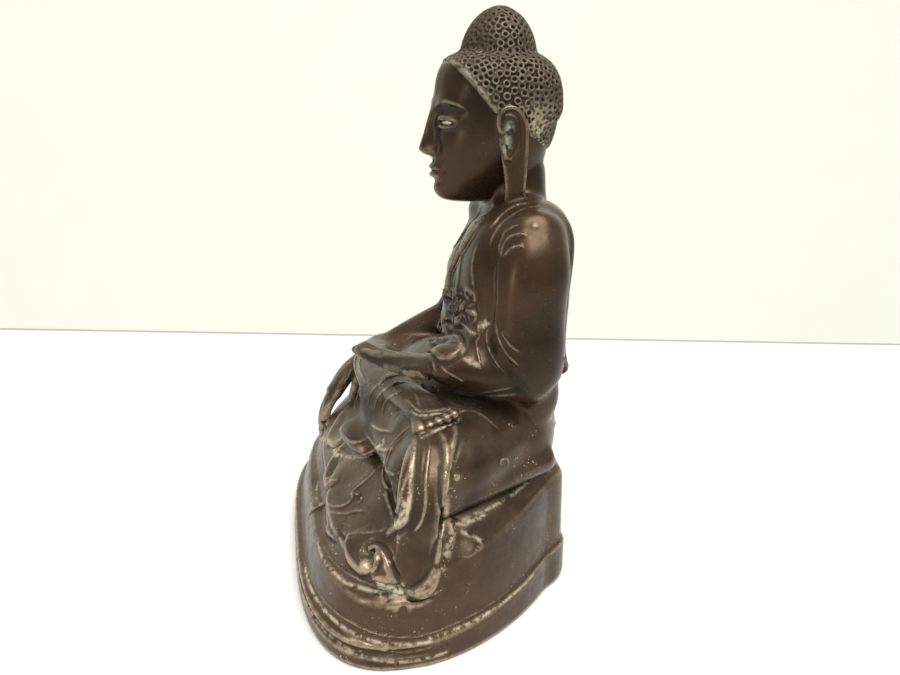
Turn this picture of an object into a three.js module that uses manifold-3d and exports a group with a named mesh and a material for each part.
// A seated bronze Buddha cast in one with its plinth, in the earth-touching pose: right hand over the
// right knee, left hand palm up in the lap, robe over the left shoulder, rows of snail curls on the head.
// Millimetres, +Z up. The figure faces -Y and its left side is +X. It is laid out round the middle of
// its seat, and moved at the end so that the origin is the centre of the plinth's underside. The two eyes
// are thin shell inlays, set in from the front.
import * as THREE from "three";
import Module from "manifold-3d";
import { mergeVertices } from "three/addons/utils/BufferGeometryUtils.js";

const wasm = await Module();
wasm.setup();

// Driving dimensions
const HEIGHT = 300; // underside of the plinth to the top of the crown
const PLINTH_HALF_WIDTH = 106;
const PLINTH_FRONT = -83;
const PLINTH_BACK = 69; // the back is cut off nearly flat
const PLINTH_OVAL_BACK = 83; // where the sides' curve would end if the back were not flat
const PLINTH_WIDEST = -26; // y of the widest place, where the knees are
const SEAT = 71; // height of the plinth's top, which the legs rest on
const LEDGE = 36; // height of the front ledge, below the cloth
const KNEE_X = 77;
const KNEE_Y = -20;
const LEG_Z = 89; // middle of the lower leg's thickness
const SHOULDER_X = 50;
const SHOULDER_Z = 192;
const HEAD_Y = 33; // middle of the skull, front to back
const CHIN = 204.5;
const HEAD_HALF_WIDTH = 28.5;
const FACE_FRONT = -0.5;
const CURL_HIGH = 1.8; // how far each snail curl stands out
const INLAY_GAP = 0.35; // clearance round each eye inlay
const TO_CENTRE = -(PLINTH_FRONT + PLINTH_BACK) / 2;

const V = (x, y, z) => new THREE.Vector3(x, y, z);
const mirrored = (points) => points.map((p) => ({ ...p, at: V(-p.at.x, p.at.y, p.at.z) }));
const smooth = (from, to, value) => THREE.MathUtils.smoothstep(value, from, to);
const mix = THREE.MathUtils.lerp;
const signedPower = (value, power) => Math.sign(value) * Math.abs(value) ** power;

// Solids
function solidOf(geometry) {
  geometry.deleteAttribute("normal");
  geometry.deleteAttribute("uv");
  const merged = mergeVertices(geometry, 1e-4);
  const mesh = { numProp: 3, vertProperties: merged.attributes.position.array };
  const triangles = new Uint32Array(merged.index.array);
  const made = new wasm.Manifold(new wasm.Mesh({ ...mesh, triVerts: triangles }));
  return made.volume() > 0
    ? made
    : new wasm.Manifold(new wasm.Mesh({ ...mesh, triVerts: triangles.reverse() }));
}

function geometryOf(solid) {
  const mesh = solid.getMesh();
  const geometry = new THREE.BufferGeometry();
  geometry.setAttribute("position", new THREE.BufferAttribute(new Float32Array(mesh.vertProperties), 3));
  geometry.setIndex(new THREE.BufferAttribute(new Uint32Array(mesh.triVerts), 1));
  geometry.computeVertexNormals();
  return geometry;
}

const join = (solids) => solids.reduce((all, one) => all.add(one));

// A closed skin over rings of points that all have the same count, with a fan at each end.
function skin(rings) {
  const count = rings[0].length;
  const points = rings.flat();
  const middle = (ring) => ring.reduce((sum, p) => sum.add(p), V(0, 0, 0)).divideScalar(count);
  points.push(middle(rings[0]), middle(rings.at(-1)));
  const index = [];
  const last = (rings.length - 1) * count;
  for (let i = 0; i < count; i++) {
    const next = (i + 1) % count;
    for (let r = 0; r < last; r += count) {
      index.push(r + i, r + next, r + count + i, r + next, r + count + next, r + count + i);
    }
    index.push(points.length - 2, next, i, points.length - 1, last + i, last + next);
  }
  const geometry = new THREE.BufferGeometry().setFromPoints(points);
  geometry.setIndex(index);
  return solidOf(geometry);
}

// A point of a level superellipse with its own reach to the front and back of its widest place.
function levelPoint({ z, half, front, back, widest = (front + back) / 2, power = 2, backPower = power }, angle) {
  const toBack = Math.sin(angle) > 0;
  const exponent = 2 / (toBack ? backPower : power);
  const x = half * signedPower(Math.cos(angle), exponent);
  const y = widest + Math.abs((toBack ? back : front) - widest) * signedPower(Math.sin(angle), exponent);
  return V(x, y, z);
}

const around = (sides, make) => Array.from({ length: sides }, (_, i) => make((i / sides) * 2 * Math.PI));
const stack = (levels, sides) => skin(levels.map((level) => around(sides, (angle) => levelPoint(level, angle))));

// A limb along smooth stations {at, wide, thick}, both half sizes. Thick is measured towards `up`.
// Its ends are rounded, and `fold(s, t)` may lift the surface s of the way round and t along.
function limb(stations, { sides = 10, steps = 2, rounds = 2, up = V(0, 0, 1), power = 2, endLength = 0.7, fold } = {}) {
  const path = new THREE.CatmullRomCurve3(stations.map((s) => s.at));
  const spans = (stations.length - 1) * steps;
  const sized = (key, t) => {
    const place = Math.min(t * (stations.length - 1), stations.length - 1.0001);
    const k = Math.floor(place);
    return mix(stations[k][key], stations[k + 1][key], smooth(0, 1, place - k));
  };
  const ringAt = (t, shift, scale) => {
    const ahead = path.getTangent(t);
    const side = V(0, 0, 0).crossVectors(up, ahead).normalize();
    const lift = V(0, 0, 0).crossVectors(ahead, side).normalize();
    const centre = path.getPoint(t).addScaledVector(ahead, shift);
    return Array.from({ length: sides }, (_, i) => {
      const angle = (i / sides) * 2 * Math.PI;
      const raised = scale + (fold ? fold(i / sides, t) : 0) * scale;
      const x = sized("wide", t) * signedPower(Math.cos(angle), 2 / power) * raised;
      const y = sized("thick", t) * signedPower(Math.sin(angle), 2 / power) * raised;
      return centre.clone().addScaledVector(side, x).addScaledVector(lift, y);
    });
  };
  const rings = [];
  const capAt = (t, direction, angle) => {
    const reach = Math.min(sized("wide", t), sized("thick", t)) * endLength;
    return ringAt(t, direction * reach * Math.sin(angle), Math.cos(angle));
  };
  for (let i = rounds; i > 0; i--) rings.push(capAt(0, -1, (1.3 * i) / rounds));
  for (let i = 0; i <= spans; i++) rings.push(ringAt(i / spans, 0, 1));
  for (let i = 1; i <= rounds; i++) rings.push(capAt(1, 1, (1.3 * i) / rounds));
  return skin(rings);
}

const station = (x, y, z, wide, thick = wide) => ({ at: V(x, y, z), wide, thick });

function ball(x, y, z, radii, turn = [0, 0, 0], across = 8, high = 5) {
  const geometry = new THREE.SphereGeometry(1, across, high);
  geometry.scale(...radii);
  geometry.applyMatrix4(new THREE.Matrix4().makeRotationFromEuler(new THREE.Euler(...turn)));
  geometry.translate(x, y, z);
  return solidOf(geometry);
}

// A thin raised line of cast wax laid along points.
const thread = (points, radius) =>
  limb(points.map((p) => station(...p, radius)), { sides: 4, steps: 1, rounds: 1, endLength: 1 });

// The plinth
// Each level: height, inset of the sides, front and back, how far its back rises, ledge at the front.
const PLINTH_LEVELS = [
  { z: 0, side: 1, front: 1, back: 1, rise: 0, step: 0 },
  { z: 1.2, side: 0, front: 0, back: 0, rise: 0, step: 0 },
  { z: 8, side: 0.2, front: 0.2, back: 0.2, rise: 6, step: 0 },
  { z: 10, side: 0.3, front: 0.9, back: 0.3, rise: 6.5, step: 1.4 },
  { z: 12.5, side: 0.3, front: 0.8, back: 0.3, rise: 8, step: 1.2 },
  { z: 14.5, side: 0.4, front: 0.8, back: 0.4, rise: 8.5, step: 0.3 },
  { z: 17, side: 2.8, front: 5, back: 2, rise: 8.5, step: 0 },
  { z: 33, side: 3.6, front: 10, back: 2.5, rise: 2, step: 0 },
  { z: LEDGE, side: 4, front: 12, back: 2.6, rise: 3, step: 0.5 },
  { z: LEDGE + 2, side: 4.2, front: 12.7, back: 2.7, rise: 4, step: 3.5 },
  { z: 51, side: 6, front: 23, back: 3.5, rise: 13, step: 3 },
  { z: 60.5, side: 12, front: 32, back: 10, rise: 10, step: 3 },
  { z: 67, side: 19, front: 40, back: 17, rise: 8, step: 1 },
  { z: SEAT + 1, side: 30, front: 47, back: 28, rise: 4, step: 0 },
  { z: SEAT + 6, side: 44, front: 58, back: 42, rise: 0, step: 0 },
];

const PLINTH_SIDES = 42;
const CORNER_OUT = 0.13; // how much wider the back corners stand than the oval
const CORNER = [48, 66]; // from where to where, in y, the corners come out
const BACK_BOW = 3.5; // how far the back falls away from flat
const BACK_BOW_AT = 52; // at this distance from its middle
const LEDGE_ENDS = [-34, -14]; // where in y the front's ledge runs out along the sides
const RISE = [-20, 62]; // from where to where in y the levels rise to the back

// A point of the plinth's surface at a level and an angle, `proud` of the metal.
function plinthPoint({ z, side, front, back, rise, step }, angle, proud = 0) {
  const p = levelPoint(
    {
      z,
      half: PLINTH_HALF_WIDTH - side,
      front: PLINTH_FRONT + front,
      back: PLINTH_OVAL_BACK - back,
      widest: PLINTH_WIDEST,
      power: 3,
      backPower: 1.66,
    },
    angle,
  );
  p.x *= 1 + CORNER_OUT * smooth(...CORNER, p.y);
  p.y = Math.min(p.y, PLINTH_BACK - back - BACK_BOW * (p.x / BACK_BOW_AT) ** 2);
  const frontness = 1 - smooth(...LEDGE_ENDS, p.y);
  const outward = 1 + (proud - step * frontness) / Math.hypot(p.x, p.y - PLINTH_WIDEST);
  const lift = rise * smooth(...RISE, p.y);
  return V(p.x * outward, PLINTH_WIDEST + (p.y - PLINTH_WIDEST) * outward, z + lift);
}

const plinth = () => skin(PLINTH_LEVELS.map((level) => around(PLINTH_SIDES, (angle) => plinthPoint(level, angle))));

// The plinth's level at any height above its ledge.
function plinthLevelAt(z) {
  const above = PLINTH_LEVELS.findIndex((level, i) => level.z >= z || i === PLINTH_LEVELS.length - 1);
  const [low, high] = [PLINTH_LEVELS[above - 1], PLINTH_LEVELS[above]];
  const part = Math.min((z - low.z) / (high.z - low.z), 2);
  const mixed = Object.fromEntries(Object.keys(low).map((key) => [key, mix(low[key], high[key], part)]));
  return { ...mixed, z };
}

// The body
function torso() {
  return stack(
    [
      { z: 96, half: 56, front: 0, back: 64, power: 2.4 },
      { z: 110, half: 46, front: 3, back: 63.5, power: 2.3 },
      { z: 125, half: 39, front: 6, back: 62, power: 2.3 },
      { z: 142, half: 39, front: 6.5, back: 61, power: 2.2 },
      { z: 158, half: 43, front: 9, back: 61.5, power: 2.2 },
      { z: 172, half: 47, front: 14, back: 62, power: 2.2 },
      { z: 184, half: 48, front: 20, back: 61.5, power: 2.2 },
      { z: 193, half: 44, front: 25.5, back: 60, power: 2.2 },
      { z: 201, half: 34, front: 27, back: 59, power: 2 },
      { z: 208, half: 24, front: 26, back: 59, power: 2 },
      { z: 216, half: 20.5, front: 23, back: 59, power: 2 },
      { z: 226, half: 20, front: 20, back: 58, power: 2 },
    ],
    20,
  );
}

// The hips, which spread behind the thighs and carry the lap.
function hips() {
  const HIPS = { front: -24, widest: 18, power: 2.4, backPower: 2.4 };
  return stack(
    [
      { ...HIPS, z: SEAT - 4, half: 63, back: 61 },
      { ...HIPS, z: SEAT + 3, half: 68, back: 65 },
      { ...HIPS, z: 88, half: 69, back: 66 },
      { ...HIPS, z: 100, half: 63, back: 65.5 },
      { ...HIPS, z: 109, half: 54, back: 64, front: -18 },
      { ...HIPS, z: 116, half: 42, back: 62, front: -6 },
    ],
    20,
  );
}

// Both legs: the thigh out to the knee, then the shin back across.
function legs() {
  const thigh = [
    station(30, 40, LEG_Z, 24, 20),
    station(46, 22, LEG_Z, 24, 19),
    station(66, -3, LEG_Z, 23, 18.5),
    station(KNEE_X, KNEE_Y, LEG_Z - 1, 18.5, 17),
  ];
  const lowerShin = [
    station(KNEE_X, KNEE_Y, LEG_Z - 2, 17, 15),
    station(48, -23.5, LEG_Z - 4, 14, 13.5),
    station(0, -28, LEG_Z - 4, 14, 13.5),
    station(-50, -22, LEG_Z - 5, 16, 14.5),
  ];
  const upperShin = [
    station(-KNEE_X, KNEE_Y, LEG_Z, 17, 15),
    station(-50, -26.5, LEG_Z + 5, 14, 13),
    station(-16, -26.5, LEG_Z + 9, 12.5, 11),
    station(14, -22, LEG_Z + 13, 11, 9),
  ];
  return join([limb(thigh), limb(mirrored(thigh)), limb(lowerShin, { steps: 1 }), limb(upperShin)]);
}

// The right foot lies sole up on the left thigh, its toes over the edge.
function foot() {
  const sole = limb(
    [station(8, -23, 104, 10, 8), station(34, -18, 106.5, 9, 6.2), station(59, -12, 107.5, 11, 5)],
    { power: 2.4, sides: 8, rounds: 1 },
  );
  const TOES = 5;
  const toes = Array.from({ length: TOES }, (_, i) => {
    const along = i / (TOES - 1);
    const radius = i === 0 ? 4 : mix(3.1, 2.5, along);
    const y = mix(-20.5, -3.5, along ** 0.9);
    return limb([station(56, y * 0.9 - 1, 107.5, radius), station(mix(68, 65.5, along), y, mix(106, 111.5, along), radius)], {
      sides: 6,
      steps: 1,
      rounds: 1,
      endLength: 0.9,
    });
  });
  return join([sole, ...toes]);
}

function leftArm() {
  const upper = [
    station(SHOULDER_X - 6, 39, SHOULDER_Z + 2, 17, 17),
    station(SHOULDER_X + 3, 36.5, SHOULDER_Z - 14, 19, 18),
    station(56, 35, 158, 18.5, 16),
    station(58, 35.5, 138, 18.5, 16),
    station(57, 37, 127, 17, 15),
  ];
  const sleeve = [
    station(56, 39, 126, 16, 15),
    station(53, 22, 127, 13, 13),
    station(46, 4, 128, 11, 11),
    station(40, -5, 128, 9, 9),
  ];
  // cloth between the arm and the hip
  const web = ball(46, 44, 112, [15, 13, 20]);
  return join([limb(upper, { up: V(1, 0, 0), steps: 1 }), limb(sleeve, { steps: 1 }), web]);
}

function rightArm() {
  const upper = [
    station(-SHOULDER_X + 10, 46, SHOULDER_Z - 7, 15, 17),
    station(-SHOULDER_X, 44, SHOULDER_Z - 20, 15, 15),
    station(-57, 39, 155, 13.5, 13),
    station(-63, 32, 134, 12.5, 11.5),
    station(-66, 27, 122, 12, 11),
  ];
  const fore = [
    station(-66, 29, 121, 12, 11.5),
    station(-71, 8, 110, 11, 10.5),
    station(-75, -14, 98.5, 9.5, 8.5),
    station(-77, -32, 88, 8, 6.5),
  ];
  return join([limb(upper, { up: V(1, 0, 0), steps: 1 }), limb(fore, { up: V(-0.5, 0.4, 1), steps: 1 })]);
}

const FINGERS = 4;
const finger = (points, radius) =>
  limb(points.map((p, i) => station(...p, radius * (1 - 0.09 * i))), { sides: 5, steps: 1, rounds: 1, endLength: 1 });

// Left hand, palm up in the lap, the fingertips turned up a little.
function leftHand() {
  const palm = limb(
    [station(40, -5, 127, 7.5, 6), station(32, -15, 125.5, 10, 5), station(22, -25, 124.5, 10.5, 4.2)],
    { power: 2.5, sides: 8, steps: 1, rounds: 1 },
  );
  const fingers = Array.from({ length: FINGERS }, (_, i) => {
    const across = (i - 1.5) * 4.6;
    const x = across * 0.72;
    const y = across * -0.62;
    const middle = [[16 + x, -29 + y, 123.5], [8 + x * 0.9, -37 + y * 0.9, 124.5]];
    return finger([[26 + x, -21 + y, 124.5], ...middle, [3 + x * 0.8, -42 + y * 0.8, 127]], 2.9);
  });
  const thumb = finger([[34, -18, 129], [26, -29, 130.5], [18, -36, 130.5], [13, -39, 130]], 3.2);
  return join([palm, ...fingers, thumb]);
}

// Right hand, hanging over the knee, the fingertips on the plinth and the thumb standing clear.
function rightHand() {
  const back = limb([station(-77, -31, 89, 8, 6), station(-77.5, -43, 79, 9.5, 5.4), station(-77.5, -52, 66, 10, 4.8)], {
    up: V(0, -1, 0.4),
    power: 2.5,
    sides: 8,
    steps: 1,
    rounds: 1,
  });
  const KNUCKLES = 68;
  const FINGERTIPS = [39, 36, 34.5, 37];
  const fingers = FINGERTIPS.map((low, i) => {
    const x = -85.5 + i * 5.2;
    const bends = [[x + 0.4, -56, mix(KNUCKLES, low, 0.3)], [x + 1.5, -60.5, mix(KNUCKLES, low, 0.65)]];
    return finger([[x, -49.5, KNUCKLES + 2], ...bends, [x + 3.4, -62, low + 2]], 2.9);
  });
  const thumb = finger([[-69, -32, 88], [-65.5, -38, 77], [-64, -41.5, 66], [-63.5, -44, 54]], 3.4);
  return join([back, ...fingers, thumb]);
}

// The head
// All of space beyond a plane, as a block big enough for this figure.
function beyond(point, normal) {
  const REACH = 400;
  const block = new THREE.BoxGeometry(REACH, REACH, REACH);
  block.translate(0, 0, REACH / 2);
  block.applyQuaternion(new THREE.Quaternion().setFromUnitVectors(V(0, 0, 1), normal.normalize()));
  block.translate(point.x, point.y, point.z);
  return solidOf(block);
}

const SKULL_LEVELS = [
  { z: CHIN, half: 6, front: 7, back: 30 },
  { z: 207, half: 11, front: 2.5, back: 42 },
  { z: 213, half: 16.5, front: 1, back: 52 },
  { z: 220, half: 22, front: 0.5, back: 58 },
  { z: 228, half: 26, front: 0.5, back: 58 },
  { z: 236, half: 28, front: 0, back: 59 },
  { z: 245, half: HEAD_HALF_WIDTH, front: FACE_FRONT, back: 61 },
  { z: 254, half: HEAD_HALF_WIDTH, front: FACE_FRONT, back: 62 },
  { z: 262, half: 27.8, front: 0, back: 60.5 },
  { z: 269, half: 25.5, front: 1.5, back: 56 },
  { z: 273, half: 21.5, front: 4.5, back: 50 },
  { z: 275.5, half: 15, front: 11, back: 42 },
];

const EYE = { x: 12.2, y: 5.7, z: 244.6, turn: 0.28 };

function face() {
  const nose = stack(
    [
      { z: 252, half: 2.2, front: -1, back: 8 },
      { z: 245, half: 2.4, front: -3.2, back: 8 },
      { z: 238, half: 3.4, front: -6, back: 8 },
      { z: 233, half: 5, front: -8.6, back: 8 },
      { z: 230, half: 5.6, front: -8.8, back: 8 },
      { z: 228.4, half: 4, front: -6, back: 8 },
    ],
    8,
  );
  const lips = [ball(0, 1.5, 221.8, [8.4, 4.6, 1.9]), ball(0, 1.7, 218.4, [6.8, 4.5, 2])];
  const chin = ball(0, 7, 211.5, [9, 7, 5]);
  const perSide = [-1, 1].flatMap((s) => [
    ball(s * EYE.x, EYE.y + 0.5, EYE.z + 1.4, [6.6, 5.6, 3.8], [0, 0, s * EYE.turn]), // the lowered lids
    ball(s * 4.6, -1.6, 230.6, [2.6, 3, 2.3]), // nostril wings
    thread([[s * 2.5, -0.4, 251], [s * 8, 0.5, 254.3], [s * 15, 3.9, 255.2], [s * 22, 10.6, 252.6]], 1.2),
  ]);
  return join([nose, ...lips, chin, ...perSide]);
}

const eyeInlay = (side, grow = 0) =>
  ball(side * EYE.x, EYE.y, EYE.z, [5.2 + grow, 5 + grow, 1.4 + grow], [0, 0, side * EYE.turn], 12, 6);

function ear(side) {
  const shell = limb(
    [
      station(side * 29.5, 28, 251, 5, 2),
      station(side * 31, 30.5, 246, 7.6, 2.6),
      station(side * 31, 31.5, 238, 7.2, 2.6),
      station(side * 30, 33, 228, 5.8, 2.5),
      station(side * 28.5, 34.5, 217, 5, 2.6),
      station(side * 27.5, 36, 207, 5.4, 2.8),
    ],
    { up: V(side, 0, 0), sides: 8, steps: 1 },
  );
  return shell.subtract(ball(side * 34.5, 30, 241, [3, 3.8, 7.5]));
}

// A rounded mass of snail curls: a geodesic net over a superellipsoid, each curl a point standing proud.
// `net` is a multiple of three, so that every curl has a ring of six lower points.
function curledMass(centre, radii, net, power) {
  const corners = new THREE.IcosahedronGeometry(1, 0).getAttribute("position");
  const points = [];
  for (let face = 0; face < corners.count; face += 3) {
    const [A, B, C] = [0, 1, 2].map((k) => V(0, 0, 0).fromBufferAttribute(corners, face + k));
    const at = (a, b) => {
      const unit = V(0, 0, 0).addScaledVector(A, a).addScaledVector(B, b).addScaledVector(C, net - a - b).normalize();
      const outward = unit.clone().divide(radii).normalize();
      const full = unit.z > 0 ? power : 2;
      const size = unit.toArray().reduce((sum, part) => sum + Math.abs(part) ** full, 0) ** (-1 / full);
      const proud = (a - b) % 3 === 0 ? CURL_HIGH : 0;
      return unit.multiplyScalar(size).multiply(radii).add(centre).addScaledVector(outward, proud);
    };
    for (let a = 0; a < net; a++) {
      for (let b = 0; b < net - a; b++) {
        points.push(at(a, b), at(a + 1, b), at(a, b + 1));
        if (a + b < net - 1) points.push(at(a + 1, b), at(a + 1, b + 1), at(a, b + 1));
      }
    }
  }
  return solidOf(new THREE.BufferGeometry().setFromPoints(points));
}

// The hair: a cap from the brow's middle down to the ears and on to the nape, and the crown's dome.
function hair() {
  const cap = curledMass(V(0, HEAD_Y - 3, 247), V(29.5, 31.8, 31.5), 9, 3.2)
    .subtract(beyond(V(0, 2, 275), V(0, -25, -20)))
    .subtract(beyond(V(0, 26, 247), V(0, -20, -36)));
  const dome = curledMass(V(0, 31.5, 276), V(17.8, 18.5, HEIGHT - CURL_HIGH - 276), 6, 1.85);
  return join([cap, dome]);
}

// The robe
// Cloth that falls as a fluted band along stations; `flutes` ridges run down its length.
function clothBand(stations, up, flutes, depth, sides = 10) {
  const fold = (round) => depth * Math.cos(round * 2 * Math.PI * 2 * flutes);
  return limb(stations, { sides, steps: 1, rounds: 1, up, power: 3, fold, endLength: 0.4 });
}

// The cloth spread over the plinth's front slope, with a hem that hangs in scallops.
function frontCloth() {
  const ROWS = [0, 0.5, 1];
  const CLOTH_SIDES = 44;
  const PROUD = 2.6;
  const HEM = { middle: 50, sides: 44, scallop: 3.5, wave: 13, top: 76 };
  const hemAt = (x, y) => {
    const low = mix(HEM.middle, HEM.sides, smooth(45, 75, Math.abs(x))) - HEM.scallop * Math.abs(Math.sin(x / HEM.wave));
    return mix(low, HEM.top, smooth(-26, -14, y));
  };
  const rows = ROWS.map((down) =>
    around(CLOTH_SIDES, (angle) => {
      const base = plinthPoint(plinthLevelAt(55), angle);
      const fold = 0.9 * down * Math.cos(base.x / 3.4);
      return plinthPoint(plinthLevelAt(mix(78, hemAt(base.x, base.y), down)), angle, PROUD + fold);
    }),
  );
  const underside = around(CLOTH_SIDES, (angle) => {
    const base = plinthPoint(plinthLevelAt(55), angle);
    return plinthPoint(plinthLevelAt(hemAt(base.x, base.y)), angle, -3);
  });
  return skin([...rows, underside]);
}

function robe() {
  const shawl = clothBand(
    [
      station(27, 33, 206, 14, 4),
      station(29, 21, 195, 17, 6),
      station(29, 14, 176, 18, 6),
      station(28, 12, 156, 18, 6),
      station(29, 12, 138, 16, 6),
    ],
    V(0, -1, 0.25),
    2.5,
    0.12,
  );
  const shawlBehind = clothBand(
    [
      station(32, 48, 208, 12, 4),
      station(36, 58, 192, 12, 4),
      station(37, 59, 160, 9, 3),
      station(38, 59, 134, 7, 3.5),
      station(38, 61.5, 117, 6, 6),
    ],
    V(0, 1, 0.2),
    2.5,
    0.1,
  );
  const apron = clothBand(
    [
      station(64, -13, 103, 9, 3.5),
      station(82, -19, 100, 10.5, 4),
      station(93.5, -25, 89, 10.5, 4),
      station(97.5, -27.5, 74, 10, 4),
      station(98, -27.5, 58, 11, 4),
      station(98, -30, 49, 12.5, 4),
      station(97.5, -33, 44, 11, 4),
    ],
    V(1, -0.3, 0.5),
    2.5,
    0.14,
  );
  const edges = [
    // the robe's edge from the neck across the chest to the right armpit
    thread([[16, 25, 203], [4, 21.5, 190], [-14, 15, 176], [-33, 17, 163], [-45, 29, 155]], 1.5),
    // the hem over the left thigh, below the forearm
    thread([[30, -12, 113], [44, 2, 112], [62, 10, 108], [76, 8, 100], [84, 8, 92]], 1.3),
  ];
  const SHOULDER_FOLDS = 3;
  const shoulderFolds = Array.from({ length: SHOULDER_FOLDS }, (_, i) => {
    const out = i * 7;
    const over = [[26 + out, 44, 208 - i * 1.6], [33 + out, 28, 206.5 - i * 3]];
    return thread([...over, [35 + out * 0.9, 19 - i * 0.3, 196 - i * 4], [34 + out * 0.8, 15, 184 - i * 5]], 1.2);
  });
  const SLEEVE_FOLDS = 3;
  const sleeveFolds = Array.from({ length: SLEEVE_FOLDS }, (_, i) => {
    const ahead = i * 5.5;
    const low = i * 4;
    const inner = [[62 - low, 23 - ahead, 147 - low], [70 - low * 0.7, 28 - ahead * 1.3, 136]];
    return thread([...inner, [71.5 - low * 0.7, 37 - ahead * 1.5, 126], [68 - low * 0.5, 44 - ahead * 1.6, 117]], 1.5);
  });
  // the rounded end of the hem that hangs from the crossed legs over the seat's front
  const fan = ball(12, -42, 74, [19, 15, 8], [0, 0, 0.4]);
  // cloth that fills the valley between the chest and the left arm, and rounds the shoulders to the neck
  const armpitFold = limb(
    [
      station(40, 27, 200, 11, 9),
      station(44, 22, 184, 10, 9),
      station(46, 20, 166, 9, 9),
      station(46, 18, 148, 9, 9),
      station(44, 16, 134, 9, 9),
    ],
    { up: V(0, -1, 0.2), sides: 8, steps: 1, rounds: 1 },
  );
  const shoulders = [ball(28, 42, 197, [25, 20, 13]), ball(-24, 42, 195, [24, 17, 12])];
  // cloth under the thigh, where it meets the seat
  const thighHem = [
    station(50, 46, 77, 14, 9),
    station(62, 22, 77, 14, 9),
    station(78, -8, 76, 12, 8),
    station(83, -19, 76, 8, 7),
  ];
  const thighHems = [thighHem, mirrored(thighHem)].map((hem) => limb(hem, { sides: 8, steps: 1, rounds: 1 }));
  return join([armpitFold, ...shoulders, ...thighHems, shawl, shawlBehind, apron, frontCloth(), fan, ...edges, ...shoulderFolds, ...sleeveFolds]);
}

// The whole casting, and the inlays
function casting() {
  const body = join([
    plinth(),
    torso(),
    hips(),
    legs(),
    foot(),
    leftArm(),
    rightArm(),
    leftHand(),
    rightHand(),
    stack(SKULL_LEVELS, 20),
    face(),
    ear(-1),
    ear(1),
    hair(),
    robe(),
  ]);
  return [-1, 1].reduce((solid, side) => solid.subtract(eyeInlay(side, INLAY_GAP)), body);
}

const bronze = new THREE.MeshStandardMaterial({ color: 0x4a3a2e, roughness: 0.42, metalness: 0.85 });
const shell = new THREE.MeshStandardMaterial({ color: 0xe4ddcc, roughness: 0.35, metalness: 0 });

const statue = new THREE.Group();
function addPiece(name, solid, material) {
  const mesh = new THREE.Mesh(geometryOf(solid).translate(0, TO_CENTRE, 0), material);
  mesh.name = name;
  statue.add(mesh);
}

addPiece("buddha_casting", casting(), bronze);
addPiece("left_eye_inlay", eyeInlay(1), shell);
addPiece("right_eye_inlay", eyeInlay(-1), shell);

export default statue;
